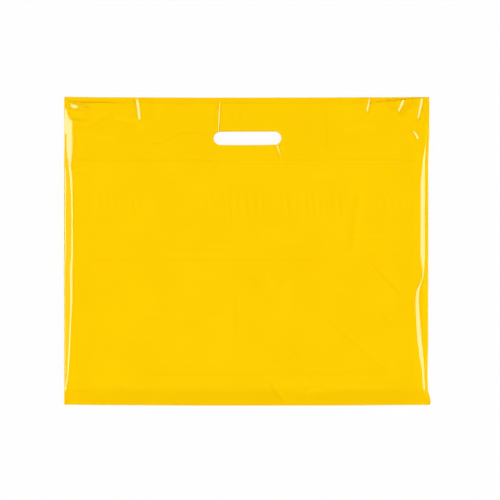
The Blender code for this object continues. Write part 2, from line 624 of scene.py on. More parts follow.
@dataclass(frozen=True)
class Slot:
    """The punched handle slot: a round-ended outline, with the sag of slack film."""

    x: float
    y: float
    length: float
    height: float
    sag: float = 0.7
    tilt: float = 0.004

    def distance(self, x: np.ndarray, y: np.ndarray) -> np.ndarray:
        """Signed distance to the outline, negative inside the slot.

        It is the distance to the slot's straight middle line less the end's radius.
        The middle line tilts a little, and the lower edge sags in the middle.

        Args:
            x: places along the mouth, in mm.
            y: places towards the mouth, in mm.

        Returns:
            The distance at each place, in mm.
        """
        radius = self.height / 2
        reach = self.length / 2 - radius
        u = x - self.x
        v = y - self.y - self.tilt * u
        belly = np.clip(1 - (u / (self.length / 2)) ** 2, 0.0, 1.0)
        v = np.where(v < 0, v + self.sag * belly, v)
        return np.hypot(u - np.clip(u, -reach, reach), v) - radius

    def cut(
        self, grid: np.ndarray, quads: np.ndarray
    ) -> tuple[np.ndarray, np.ndarray, np.ndarray]:
        """Cut the slot out of a grid.

        Where the outline crosses between two neighbours, the nearer one is moved
        onto it. Cells with a point left inside are dropped, except that a cell with
        just one keeps its outer triangle.

        Args:
            grid: the grid's points, in mm, as rows of columns.
            quads: the grid's cells, as numbers of the flattened points.

        Returns:
            The moved points, the whole cells and the cut cells' triangles.
        """
        off = self.distance(grid[:, :, 0], grid[:, :, 1])
        near = np.zeros(off.shape, bool)
        for one, two in (
            (np.s_[:-1, :], np.s_[1:, :]),
            (np.s_[:, :-1], np.s_[:, 1:]),
        ):
            cross = (off[one] < 0) != (off[two] < 0)
            first = np.abs(off[one]) <= np.abs(off[two])
            near[one] |= cross & first
            near[two] |= cross & ~first
        points = grid.reshape(-1, 3).copy()
        off, near = off.ravel(), near.ravel()
        x, y = points[:, 0].copy(), points[:, 1].copy()
        step = 0.05
        gx = (self.distance(x + step, y) - self.distance(x - step, y)) / (2 * step)
        gy = (self.distance(x, y + step) - self.distance(x, y - step)) / (2 * step)
        size = np.maximum(gx * gx + gy * gy, 1e-6)
        points[near, 0] -= (off * gx / size)[near]
        points[near, 1] -= (off * gy / size)[near]
        inside = (off < 0) & ~near
        count = inside[quads].sum(axis=1)
        whole = quads[count == 0]
        middle = points[whole].mean(axis=1)
        whole = whole[self.distance(middle[:, 0], middle[:, 1]) > -0.05]
        cells = quads[count == 1]
        gone = np.argmax(inside[cells], axis=1)
        order = (gone[:, None] + np.array([1, 2, 3])) % 4
        outer = np.take_along_axis(cells, order, axis=1)
        middle = points[outer].mean(axis=1)
        outer = outer[self.distance(middle[:, 0], middle[:, 1]) > 0.0]
        return points, whole, outer


# ---------------------------------------------------------------- the film's finish


def linear(hex_colour: str) -> tuple[float, ...]:
    """Turn an sRGB hex colour into linear red, green, blue and alpha.

    Args:
        hex_colour: such as "#ffcc00".

    Returns:
        Four numbers from 0 to 1.
    """
    parts = [int(hex_colour[i : i + 2], 16) / 255 for i in (1, 3, 5)]
    light = [p / 12.92 if p <= 0.04045 else ((p + 0.055) / 1.055) ** 2.4 for p in parts]
    return (*light, 1.0)


def add_node(
    tree: bpy.types.NodeTree, kind: str, links: dict | None = None, **settings: str
) -> bpy.types.Node:
    """Add a node with its settings and links.

    A colour mix takes its inputs by number: 0 is the share, 6 and 7 the two colours.

    Args:
        tree: the node tree.
        kind: the node's type name.
        links: {input name or number: an output socket, or a plain value}.
        **settings: the node's own properties.

    Returns:
        The node.
    """
    node = tree.nodes.new(kind)
    for name, value in settings.items():
        setattr(node, name, value)
    for name, value in (links or {}).items():
        if isinstance(value, bpy.types.NodeSocket):
            tree.links.new(value, node.inputs[name])
        else:
            node.inputs[name].default_value = value
    return node


@dataclass(frozen=True)
class PolytheneFilm:
    """Blown low-density polythene film, dyed warm yellow.

    Blown film sets glass-smooth against air, so it mirrors a lamp sharply and shows
    its full colour elsewhere. Its pigment lies a little unevenly, in faint streaks
    along the way it was drawn, and its skin has a fine orange peel.
    """

    name: str = "yellow_polythene_film"
    pale_dye: str = "#f7d406"
    deep_dye: str = "#eeb801"
    pin_colour: str = "#fff3a8"
    roughness: float = 0.07
    scatter: float = 0.8
    ior: float = 1.51
    cloud_mm: float = 60.0
    streak_mm: float = 2.2
    streak_stretch: float = 0.02
    peel_mm: float = 1.6
    skin_height_mm: float = 0.006
    pin_mm: float = 0.55
    pin_depth: float = 0.75
    band_depth: float = 0.05
    painted_shade_and_highlight_depth: float = 0.34
    streak_depth: float = 0.6
    palest: float = -0.42
    deepest: float = 3.89
    pins: Table = ()

    def material(self) -> bpy.types.Material:
        """Build the material.

        Returns:
            The material, which reads Object coordinates and both the sheet's attributes.
        """
        material = bpy.data.materials.new(self.name)
        material.use_nodes = True
        tree = material.node_tree
        shader = tree.nodes["Principled BSDF"]
        place = add_node(tree, "ShaderNodeTexCoord").outputs["Object"]
        cloud = add_node(
            tree, "ShaderNodeTexNoise",
            {"Vector": place, "Scale": 1 / (self.cloud_mm * MM), "Detail": 3.0},
        ).outputs["Fac"]
        drawn = add_node(
            tree, "ShaderNodeMapping", {"Vector": place, "Scale": (self.streak_stretch, 1.0, 1.0)}
        ).outputs["Vector"]
        streak = add_node(
            tree, "ShaderNodeTexNoise",
            {"Vector": drawn, "Scale": 1 / (self.streak_mm * MM), "Detail": 2.0},
        ).outputs["Fac"]
        colour = self._dye(tree, cloud, streak)
        level = add_node(
            tree, "ShaderNodeMapping", {"Vector": place, "Scale": (1.0, 1.0, 0.0)}
        ).outputs["Vector"]
        for pin in self.pins:
            colour = self._pin_mark(tree, level, colour, pin)
        tree.links.new(colour, shader.inputs["Base Color"])
        rough = add_node(
            tree, "ShaderNodeMapRange",
            {
                "Value": cloud, "From Min": 0.3, "From Max": 0.7,
                "To Min": self.roughness * 0.85, "To Max": self.roughness * 1.2,
            },
        ).outputs["Result"]
        tree.links.new(rough, shader.inputs["Roughness"])
        shader.inputs["IOR"].default_value = self.ior
        shader.inputs["Diffuse Roughness"].default_value = self.scatter
        tree.links.new(self._skin(tree, place, streak), shader.inputs["Normal"])
        return material

    def _dye(
        self, tree: bpy.types.NodeTree, cloud: bpy.types.NodeSocket, streak: bpy.types.NodeSocket
    ) -> bpy.types.NodeSocket:
        """The film's colour: deeper under painted shade and where a turned-over top lies under it,
        paler under painted highlight.

        The share of deep dye is the cloud's noise, plus the painted shade and highlight and the
        streaks by their depths, set between the palest and the deepest. A turned-over top under
        the film deepens it by the band's depth.

        Args:
            tree: the node tree.
            cloud: the broad noise.
            streak: the drawn-out noise.

        Returns:
            The colour.
        """
        band = add_node(tree, "ShaderNodeAttribute", attribute_name="turned_top").outputs["Fac"]
        # painted shade and painted highlight, read from the sheet's attribute
        painted_shade_and_highlight = add_node(tree, "ShaderNodeAttribute", attribute_name="painted_shade_and_highlight").outputs["Fac"]
        uneven = add_node(
            tree, "ShaderNodeMath", {0: painted_shade_and_highlight, 1: self.painted_shade_and_highlight_depth, 2: cloud},
            operation="MULTIPLY_ADD",
        ).outputs[0]
        streaked = add_node(
            tree, "ShaderNodeMath", {0: streak, 1: self.streak_depth, 2: uneven},
            operation="MULTIPLY_ADD",
        ).outputs[0]
        share = add_node(
            tree, "ShaderNodeMapRange",
            {"Value": streaked, "From Min": self.palest, "From Max": self.deepest},
        ).outputs["Result"]
        dyed = add_node(
            tree, "ShaderNodeMix", {0: share, 6: linear(self.pale_dye), 7: linear(self.deep_dye)},
            data_type="RGBA",
        ).outputs[2]
        depth = add_node(
            tree, "ShaderNodeMath", {0: band, 1: self.band_depth}, operation="MULTIPLY"
        ).outputs[0]
        return add_node(
            tree, "ShaderNodeMix", {0: depth, 6: dyed, 7: linear(self.deep_dye)}, data_type="RGBA"
        ).outputs[2]

    def _pin_mark(
        self,
        tree: bpy.types.NodeTree,
        level: bpy.types.NodeSocket,
        colour: bpy.types.NodeSocket,
        pin: Place,
    ) -> bpy.types.NodeSocket:
        """Pale the film round a pin prick, where it was stretched, in every layer.

        Args:
            tree: the node tree.
            level: Object coordinates with the height left out.
            colour: the film's colour so far.
            pin: the prick's x and y, in mm.

        Returns:
            The colour with the prick's mark.
        """
        away = add_node(
            tree, "ShaderNodeVectorMath", {0: level, 1: (pin[0] * MM, pin[1] * MM, 0.0)},
            operation="DISTANCE",
        ).outputs["Value"]
        share = add_node(
            tree, "ShaderNodeMapRange",
            {
                "Value": away, "To Min": self.pin_depth, "To Max": 0.0,
                "From Min": self.pin_mm * 0.6 * MM, "From Max": self.pin_mm * 1.5 * MM,
            },
        ).outputs["Result"]
        return add_node(
            tree, "ShaderNodeMix", {0: share, 6: colour, 7: linear(self.pin_colour)},
            data_type="RGBA",
        ).outputs[2]

    def _skin(
        self, tree: bpy.types.NodeTree, place: bpy.types.NodeSocket, streak: bpy.types.NodeSocket
    ) -> bpy.types.NodeSocket:
        """Bump of the film's skin: orange peel, and the faint lines it was drawn with.

        Args:
            tree: the node tree.
            place: Object coordinates.
            streak: the drawn-out noise.

        Returns:
            The normal.
        """
        height = self.skin_height_mm * MM
        peel = add_node(
            tree, "ShaderNodeTexNoise",
            {"Vector": place, "Scale": 1 / (self.peel_mm * MM), "Detail": 1.0},
        ).outputs["Fac"]
        first = add_node(
            tree, "ShaderNodeBump", {"Height": peel, "Strength": 1.0, "Distance": height}
        ).outputs["Normal"]
        return add_node(
            tree, "ShaderNodeBump",
            {"Height": streak, "Normal": first, "Strength": 1.0, "Distance": height},
        ).outputs["Normal"]


@dataclass(frozen=True)
class MeltedBead:
    """Polythene that melted under the hot knife and set as a bead.

    It is the same plastic, thicker and so deeper in colour, with a softer gloss.
    """

    name: str = "melted_polythene_bead"
    deep: str = "#f0c404"
    bright: str = "#f8d008"
    roughness: float = 0.22
    ior: float = 1.51
    ripple_mm: float = 2.5
    ripple_height_mm: float = 0.1

    def material(self) -> bpy.types.Material:
        """Build the material.

        Returns:
            The material, which reads Object coordinates.
        """
        material = bpy.data.materials.new(self.name)
        material.use_nodes = True
        tree = material.node_tree
        shader = tree.nodes["Principled BSDF"]
        place = add_node(tree, "ShaderNodeTexCoord").outputs["Object"]
        ripple = add_node(
            tree, "ShaderNodeTexNoise",
            {"Vector": place, "Scale": 1 / (self.ripple_mm * MM), "Detail": 2.0},
        ).outputs["Fac"]
        tone = add_node(
            tree, "ShaderNodeMix", {0: ripple, 6: linear(self.deep), 7: linear(self.bright)},
            data_type="RGBA",
        ).outputs[2]
        tree.links.new(tone, shader.inputs["Base Color"])
        shader.inputs["Roughness"].default_value = self.roughness
        shader.inputs["IOR"].default_value = self.ior
        bump = add_node(
            tree, "ShaderNodeBump",
            {"Height": ripple, "Strength": 0.6, "Distance": self.ripple_height_mm * MM},
        ).outputs["Normal"]
        tree.links.new(bump, shader.inputs["Normal"])
        return material


# ---------------------------------------------------------------- the film's two sheets


@dataclass(frozen=True)
class FilmLayout:
    """Where the points of both sheets lie, seen from above.

    The gaps are (place, gap) stations: close together over the side rolls, at the
    slot's ends and at the marks, and wide apart on the plain film between.
    """

    sizes: BagSizes
    outline: Outline
    column_gaps: Table = (
        (-273, 0.6), (-254, 0.6), (-240, 2.3), (-60, 2.5), (-53, 1.5), (-47, 1.3), (-45, 0.62),
        (-38, 0.62), (-34, 2.4), (32, 2.4), (40, 1.2), (42, 0.66), (53, 0.66), (60, 2.5),
        (240, 2.3), (254, 0.6), (273, 0.6),
    )
    panel_gaps: Table = (
        (-231, 1.6), (-195, 1.6), (-180, 2.5), (120, 2.5), (130, 1.5), (182, 1.5), (231, 1.6),
    )
    top_reach: float = 110.0
    top_fade: float = 100.0
    bottom_fade: float = 90.0
    side_fade: float = 120.0
    edge_in_bead: float = 0.45

    def columns(self) -> np.ndarray:
        """Nominal places of the columns, from inside one bead to inside the other."""
        edge = self.sizes.half_width - self.sizes.bead_width * self.edge_in_bead
        return graded(-edge, edge, self.column_gaps)

    def place(
        self, columns: np.ndarray, rows: np.ndarray, lip: Table
    ) -> tuple[np.ndarray, np.ndarray]:
        """Move a true rectangle's points onto the bag's wandering outline.

        The wander of the lip and of the bottom eases out over its fade. A side's
        fades out as the square of the share left of the side's fade.

        Args:
            columns: nominal places along the mouth, in mm.
            rows: nominal places towards the mouth, in mm.
            lip: the wander table of this layer's lip.

        Returns:
            x and y of every point, one row for each of the rows.
        """
        x, y = np.meshgrid(columns, rows)
        half_w, half_h = self.sizes.half_width, self.sizes.half_height
        to_top = smooth((y - (half_h - self.top_reach)) / self.top_fade)
        to_bottom = smooth((-half_h + self.bottom_fade - y) / self.bottom_fade)
        y = y + curve(x, lip) * to_top + curve(x, self.outline.bottom) * to_bottom
        from_left = np.clip(1 - (x + half_w) / self.side_fade, 0.0, 1.0) ** 2
        from_right = np.clip(1 - (half_w - x) / self.side_fade, 0.0, 1.0) ** 2
        x = x - curve(y, self.outline.left) * from_left + curve(y, self.outline.right) * from_right
        return x, y


@dataclass
class FilmSheet:
    """One of the bag's two sheets of film, folded over at its lip and at its bottom."""

    name: str
    layout: FilmLayout
    front: FrontForm
    slot: Slot
    # painted shade over the whole sheet; on the back sheet it darkens the strip that shows under
    # the front lip
    tone: float = 0.0
    nose: float = 0.3
    least_reach: float = 0.25
    most_reach: float = 0.5
    fold_steps: int = 8
    band_reach: float = 100.0
    band_edge: float = 1.6
    leaf_gaps: Table = ((-231, 2.8), (-180, 2.8))

    @staticmethod
    def _to_weld(x: np.ndarray) -> np.ndarray:
        """Distance of each point from the nearer end of its row, in mm."""
        return np.minimum(x - x[:, :1], x[:, -1:] - x)

    def _turn(
        self, x: np.ndarray, y: np.ndarray, upper: np.ndarray, lower: np.ndarray, way: Fold
    ) -> np.ndarray:
        """A half-round fold that joins two layers which lie one over the other.

        Args:
            x: the fold's places along the mouth, in mm.
            y: where the layers end, in mm.
            upper: the upper layer's height there.
            lower: the lower layer's height there.
            way: which way the fold's nose points.

        Returns:
            Rows of points from the lower layer to the upper one, ends left out.
        """
        angles = np.radians(np.linspace(-90, 90, self.fold_steps + 1))[1:-1, None]
        radius = (upper - lower) / 2
        reach = way.value * np.clip(radius, self.least_reach, self.most_reach)
        return np.stack(
            [
                np.broadcast_to(x, (len(angles), x.size)),
                y + reach * np.cos(angles),
                (upper + lower) / 2 + radius * np.sin(angles),
            ],
            axis=-1,
        )

    def _object(self, rows: np.ndarray, finish: bpy.types.Material) -> bpy.types.Object:
        """Turn stacked rows of points into the finished piece.

        Args:
            rows: the points, in mm, in rows along X.
            finish: the film's material.

        Returns:
            The piece, in the scene.
        """
        lip = self.layout.sizes.half_height
        double = smooth((rows[:, :, 1] - (lip - self.band_reach)) / self.band_edge)
        # the marks' painted shade and highlight, plus the sheet's own painted shade
        painted_shade_and_highlight = self.front.tone(rows[:, :, 0], rows[:, :, 1]) + self.tone
        surface = Surface(rows, {"turned_top": double, "painted_shade_and_highlight": painted_shade_and_highlight})
        mesh = surface.mesh(self.name, self.slot)
        mesh.materials.append(finish)
        piece = bpy.data.objects.new(self.name, mesh)
        bpy.context.scene.collection.objects.link(piece)
        return piece


@dataclass
class FrontSheet(FilmSheet):
    """The upper sheet: turned-over top, front panel and the gusset's front leaf."""

    turned_gap: float = 0.42
    least_gap: float = 0.1
    gap_margin: float = 9.0
    leaf_gap: float = 0.6
    leaf_bow: float = 0.4
    leaf_margin: float = 13.0
    inner_fold_height: float = 4.6
    turned_gaps: Table = ((130, 1.7), (230, 1.7))

    def build(self, finish: bpy.types.Material) -> bpy.types.Object:
        """Make the sheet, from the turned-over top's free end to the inner fold.

        Args:
            finish: the film's material.

        Returns:
            The sheet.
        """
        sizes, place = self.layout.sizes, self.layout.place
        columns, lip_table = self.layout.columns(), self.layout.outline.front_lip
        foot = -sizes.half_height + self.nose
        lip = sizes.front_lip - self.nose
        flap_rows = graded(sizes.front_lip - sizes.front_turned_top, lip, self.turned_gaps)
        panel_rows = graded(foot, lip, self.layout.panel_gaps)[::-1]
        leaf_rows = graded(foot, sizes.inner_fold, self.leaf_gaps)

        flap_x, flap_y = place(columns, flap_rows, lip_table)
        flap_z = self.front.height(flap_x, flap_y) - self._gap(flap_x, flap_y)
        panel_x, panel_y = place(columns, panel_rows, lip_table)
        panel_z = self.front.height(panel_x, panel_y)
        leaf_x, leaf_y = place(columns, leaf_rows, lip_table)
        leaf_z = self._leaf(leaf_x, leaf_y, panel_z[-1])
        lip_fold = self._turn(panel_x[0], panel_y[0], panel_z[0], flap_z[-1], Fold.TO_MOUTH)
        foot_fold = self._turn(panel_x[-1], panel_y[-1], panel_z[-1], leaf_z[0], Fold.TO_BOTTOM)
        rows = np.concatenate(
            [
                np.stack([flap_x, flap_y, flap_z], axis=-1),
                lip_fold,
                np.stack([panel_x, panel_y, panel_z], axis=-1),
                foot_fold[::-1],
                np.stack([leaf_x, leaf_y, leaf_z], axis=-1),
            ]
        )
        return self._object(rows, finish)

    def _gap(self, x: np.ndarray, y: np.ndarray) -> np.ndarray:
        """Gap under the panel: whole in the middle, closed up to the least at the welds.

        Args:
            x: places along the mouth, in mm, one row for each y.
            y: places towards the mouth, in mm.

        Returns:
            The gap at each place, in mm.
        """
        uneven = 1.0 + 0.35 * value_noise(x / 22.0, y / 26.0, 31)
        share = smooth(self._to_weld(x) / self.gap_margin)
        return self.least_gap + (self.turned_gap * uneven - self.least_gap) * share

    def _leaf(self, x: np.ndarray, y: np.ndarray, panel_foot: np.ndarray) -> np.ndarray:
        """The gusset's front leaf: from under the panel's foot up to the inner fold.

        It climbs by the eased share of the way, times a bow that grows to 1.

        Args:
            x: places along the mouth, in mm, one row for each y.
            y: places towards the mouth, in mm, rising.
            panel_foot: the front panel's height at its foot, in mm.

        Returns:
            The leaf's height at each place, in mm.
        """
        sizes = self.layout.sizes
        edge = smooth(self._to_weld(x) / self.leaf_margin)
        share = (y - y[:1]) / (y[-1:] - y[:1])
        foot = panel_foot - self.least_gap - self.leaf_gap * edge[:1]
        inner = sizes.weld_lift - 0.2 + (self.inner_fold_height - sizes.weld_lift) * edge
        bow = self.leaf_bow + (1 - self.leaf_bow) * share
        return foot + (inner - foot) * smooth(share) * bow


@dataclass
class BackSheet(FilmSheet):
    """The lower sheet: the gusset's back leaf, back panel and turned-over top."""

    lie: float = 0.06
    wave_height: float = 0.12
    wave_margin: float = 40.0
    curl_reach: float = 15.0
    under_bead: float = 0.25
    turned_gap: float = 1.1
    least_gap: float = 0.1
    gap_margin: float = 14.0
    lip_rise: float = 1.35
    lip_reach: float = 45.0
    lip_ease: float = 20.0
    leaf_gap: float = 0.4
    leaf_bow: float = 0.3
    leaf_margin: float = 13.0
    inner_fold_height: float = 4.5
    panel_gaps: Table = ((-231, 2.8), (140, 2.8), (231, 1.6))
    turned_gaps: Table = ((130, 1.7), (231, 1.4))

    def build(self, finish: bpy.types.Material) -> bpy.types.Object:
        """Make the sheet, from the inner fold to the turned-over top's free end.

        Args:
            finish: the film's material.

        Returns:
            The sheet.
        """
        sizes, place, outline = self.layout.sizes, self.layout.place, self.layout.outline
        columns = self.layout.columns()
        foot = -sizes.half_height + self.nose
        lip = sizes.half_height - self.nose
        turned_end = sizes.half_height - sizes.back_turned_top
        leaf_rows = graded(foot, sizes.inner_fold, self.leaf_gaps)[::-1]
        panel_rows = graded(foot, lip, self.panel_gaps)
        flap_rows = graded(turned_end, lip, self.turned_gaps)[::-1]

        leaf_x, leaf_y = place(columns, leaf_rows, outline.front_lip)
        panel_x, panel_y = place(columns, panel_rows, outline.back_lip)
        flap_x, flap_y = place(columns, flap_rows, outline.back_lip)
        panel_z = self._panel(panel_x, panel_y)
        flap_z = self._panel(flap_x, flap_y) + self._gap(flap_x, flap_y)
        leaf_z = self._leaf(leaf_x, leaf_y, panel_z[0])
        foot_fold = self._turn(panel_x[0], panel_y[0], leaf_z[-1], panel_z[0], Fold.TO_BOTTOM)
        lip_fold = self._turn(panel_x[-1], panel_y[-1], flap_z[0], panel_z[-1], Fold.TO_MOUTH)
        rows = np.concatenate(
            [
                np.stack([leaf_x, leaf_y, leaf_z], axis=-1),
                foot_fold[::-1],
                np.stack([panel_x, panel_y, panel_z], axis=-1),
                lip_fold,
                np.stack([flap_x, flap_y, flap_z], axis=-1),
            ]
        )
        return self._object(rows, finish)

    def _panel(self, x: np.ndarray, y: np.ndarray) -> np.ndarray:
        """The back panel: its lie, a slow wave above it, and a curl up to each weld.

        Args:
            x: places along the mouth, in mm, one row for each y.
            y: places towards the mouth, in mm.

        Returns:
            The panel's height at each place, in mm.
        """
        sizes = self.layout.sizes
        edge = self._to_weld(x)
        uneven = 1.0 + value_noise(x / 48.0 + 4.0, y / 40.0 + 6.0, 41)
        wave = self.wave_height * uneven * smooth(edge / self.wave_margin)
        rise = sizes.weld_lift - self.under_bead - self.lie
        curl = rise * (1.0 - smooth(edge / self.curl_reach))
        return self.lie + wave + curl

    def _gap(self, x: np.ndarray, y: np.ndarray) -> np.ndarray:
        """Gap over the back panel, with the marks that cross both lips.

        The gap rises near the lip, and closes up to the least at the welds.

        Args:
            x: places along the mouth, in mm, one row for each y.
            y: places towards the mouth, in mm.

        Returns:
            The gap at each place, in mm.
        """
        from_reach = y - (self.layout.sizes.half_height - self.lip_reach)
        near_lip = smooth(from_reach / self.lip_ease)
        whole = self.turned_gap * (1.0 + self.lip_rise * near_lip)
        share = smooth(self._to_weld(x) / self.gap_margin)
        gap = self.least_gap + (whole - self.least_gap) * share
        for mark in self.front.marks:
            gap = gap + np.maximum(mark.height(x, y), 0.0) * near_lip
        return gap

    def _leaf(self, x: np.ndarray, y: np.ndarray, panel_foot: np.ndarray) -> np.ndarray:
        """The gusset's back leaf: from the inner fold down to the back panel's foot.

        It climbs by the eased share of the way, times a bow that grows to 1.

        Args:
            x: places along the mouth, in mm, one row for each y.
            y: places towards the mouth, in mm, falling.
            panel_foot: the back panel's height at its foot, in mm.

        Returns:
            The leaf's height at each place, in mm.
        """
        sizes = self.layout.sizes
        edge = smooth(self._to_weld(x) / self.leaf_margin)
        share = (y - y[-1:]) / (y[:1] - y[-1:])
        foot = panel_foot + 0.05 + self.leaf_gap * edge[-1:]
        inner = sizes.weld_lift - 0.2 + (self.inner_fold_height - sizes.weld_lift) * edge
        bow = self.leaf_bow + (1 - self.leaf_bow) * share
        return foot + (inner - foot) * smooth(share) * bow


@dataclass
class SideWeld:
    """The bead that the hot knife left where it cut and welded the film."""

    side: Side
    layout: FilmLayout
    rings: int = 420
    sides: int = 12
    end_inset: float = 0.3
    unevenness: float = 0.16
    grain: float = 5.5
    end_round: float = 1.2
    most_swell: float = 1.18

    def build(self, finish: bpy.types.Material) -> bpy.types.Object:
        """Make the bead as an oval tube that swells and narrows along its length.

        Each ring is an oval of the bead's width and thickness times the ring's swell.

        Args:
            finish: the bead's material.

        Returns:
            The bead.
        """
        sizes = self.layout.sizes
        end = sizes.half_height - self.end_inset
        rows = np.linspace(-end, end, self.rings)
        edge = sizes.half_width - sizes.bead_width / 2
        centre_x, centre_y = self.layout.place(
            np.array([self.side.value * edge]), rows, self.layout.outline.back_lip
        )
        around = np.linspace(0, 2 * math.pi, self.sides + 1)[:-1]
        swell = self._swell(rows)[:, None]
        x = centre_x + swell * sizes.bead_width / 2 * np.cos(around)
        z = sizes.weld_lift + swell * sizes.bead_thickness / 2 * np.sin(around)
        points = np.stack([x, np.broadcast_to(centre_y, x.shape), z], axis=-1)
        index = np.arange(self.rings * self.sides).reshape(self.rings, self.sides)
        ring = np.roll(index, -1, axis=1)
        quads = np.stack([index[:-1], index[1:], ring[1:], ring[:-1]], axis=-1).reshape(-1, 4)
        caps = [index[0].tolist(), index[-1][::-1].tolist()]
        mesh = bpy.data.meshes.new(f"side_weld_{self.side.name.lower()}")
        mesh.from_pydata((points.reshape(-1, 3) * MM).tolist(), [], quads.tolist() + caps)
        mesh.shade_smooth()
        mesh.materials.append(finish)
        mesh.validate()
        piece = bpy.data.objects.new(mesh.name, mesh)
        bpy.context.scene.collection.objects.link(piece)
        return piece

    def _swell(self, rows: np.ndarray) -> np.ndarray:
        """How thick each ring is against the bead's own size, with rounded ends.

        Args:
            rows: the rings' places along the weld, in mm.

        Returns:
            The noise's swell times the square root of the share of the end's round.
        """
        seed = 51 + self.side.value
        swell = 1.0 + self.unevenness * value_noise(rows / self.grain, rows * 0 + 2.0, seed)
        from_end = self.layout.sizes.half_height - np.abs(rows)
        swell = swell * np.sqrt(np.clip(from_end / self.end_round, 0.05, 1.0))
        return np.minimum(swell, self.most_swell)


# ---------------------------------------------------------------- the bag


def film_buckles() -> tuple[Buckle, ...]:
    """The buckles that mirror the light, at the mouth and round the slot.

    Returns:
        The buckles.
    """
    left, right = Side.LEFT, Side.RIGHT
    return (
        Buckle((-164.8, 229.0), (-160.5, 193.5), 6.0, 27, left, run_out=25.0, bend=-1.0),
        Buckle((184.6, 229.0), (180.2, 206.0), 4.6, 28, right, run_out=20.0, bend=0.4),
        Buckle((235.2, 226.0), (226.0, 208.0), 4.4, 29, right, run_out=20.0, bend=0.3),
        Buckle((262.6, 229.0), (257.0, 199.0), 3.6, 28, right, run_out=17.0),
        Buckle(
            (248.8, 181.2), (256.6, 169.8), 3.0, 27, right,
            run_out=15.0, start_taper=0.16, end_taper=0.35,
        ),
        Buckle(
            (-256.8, 221.4), (-259.1, 214.7), 12.0, 20.5, left,
            run_out=28.0, start_taper=0.25, end_taper=0.35,
        ),
        Buckle(
            (-39.8, 222.5), (-42.6, 178.5), 2.0, 27, right,
            run_out=9.0, start_taper=0.04, end_taper=0.04,
        ),
        Buckle(
            (45.3, 161.0), (53.0, 141.0), 2.1, 27, right,
            run_out=9.0, bend=1.2, start_taper=0.04,
        ),
    )


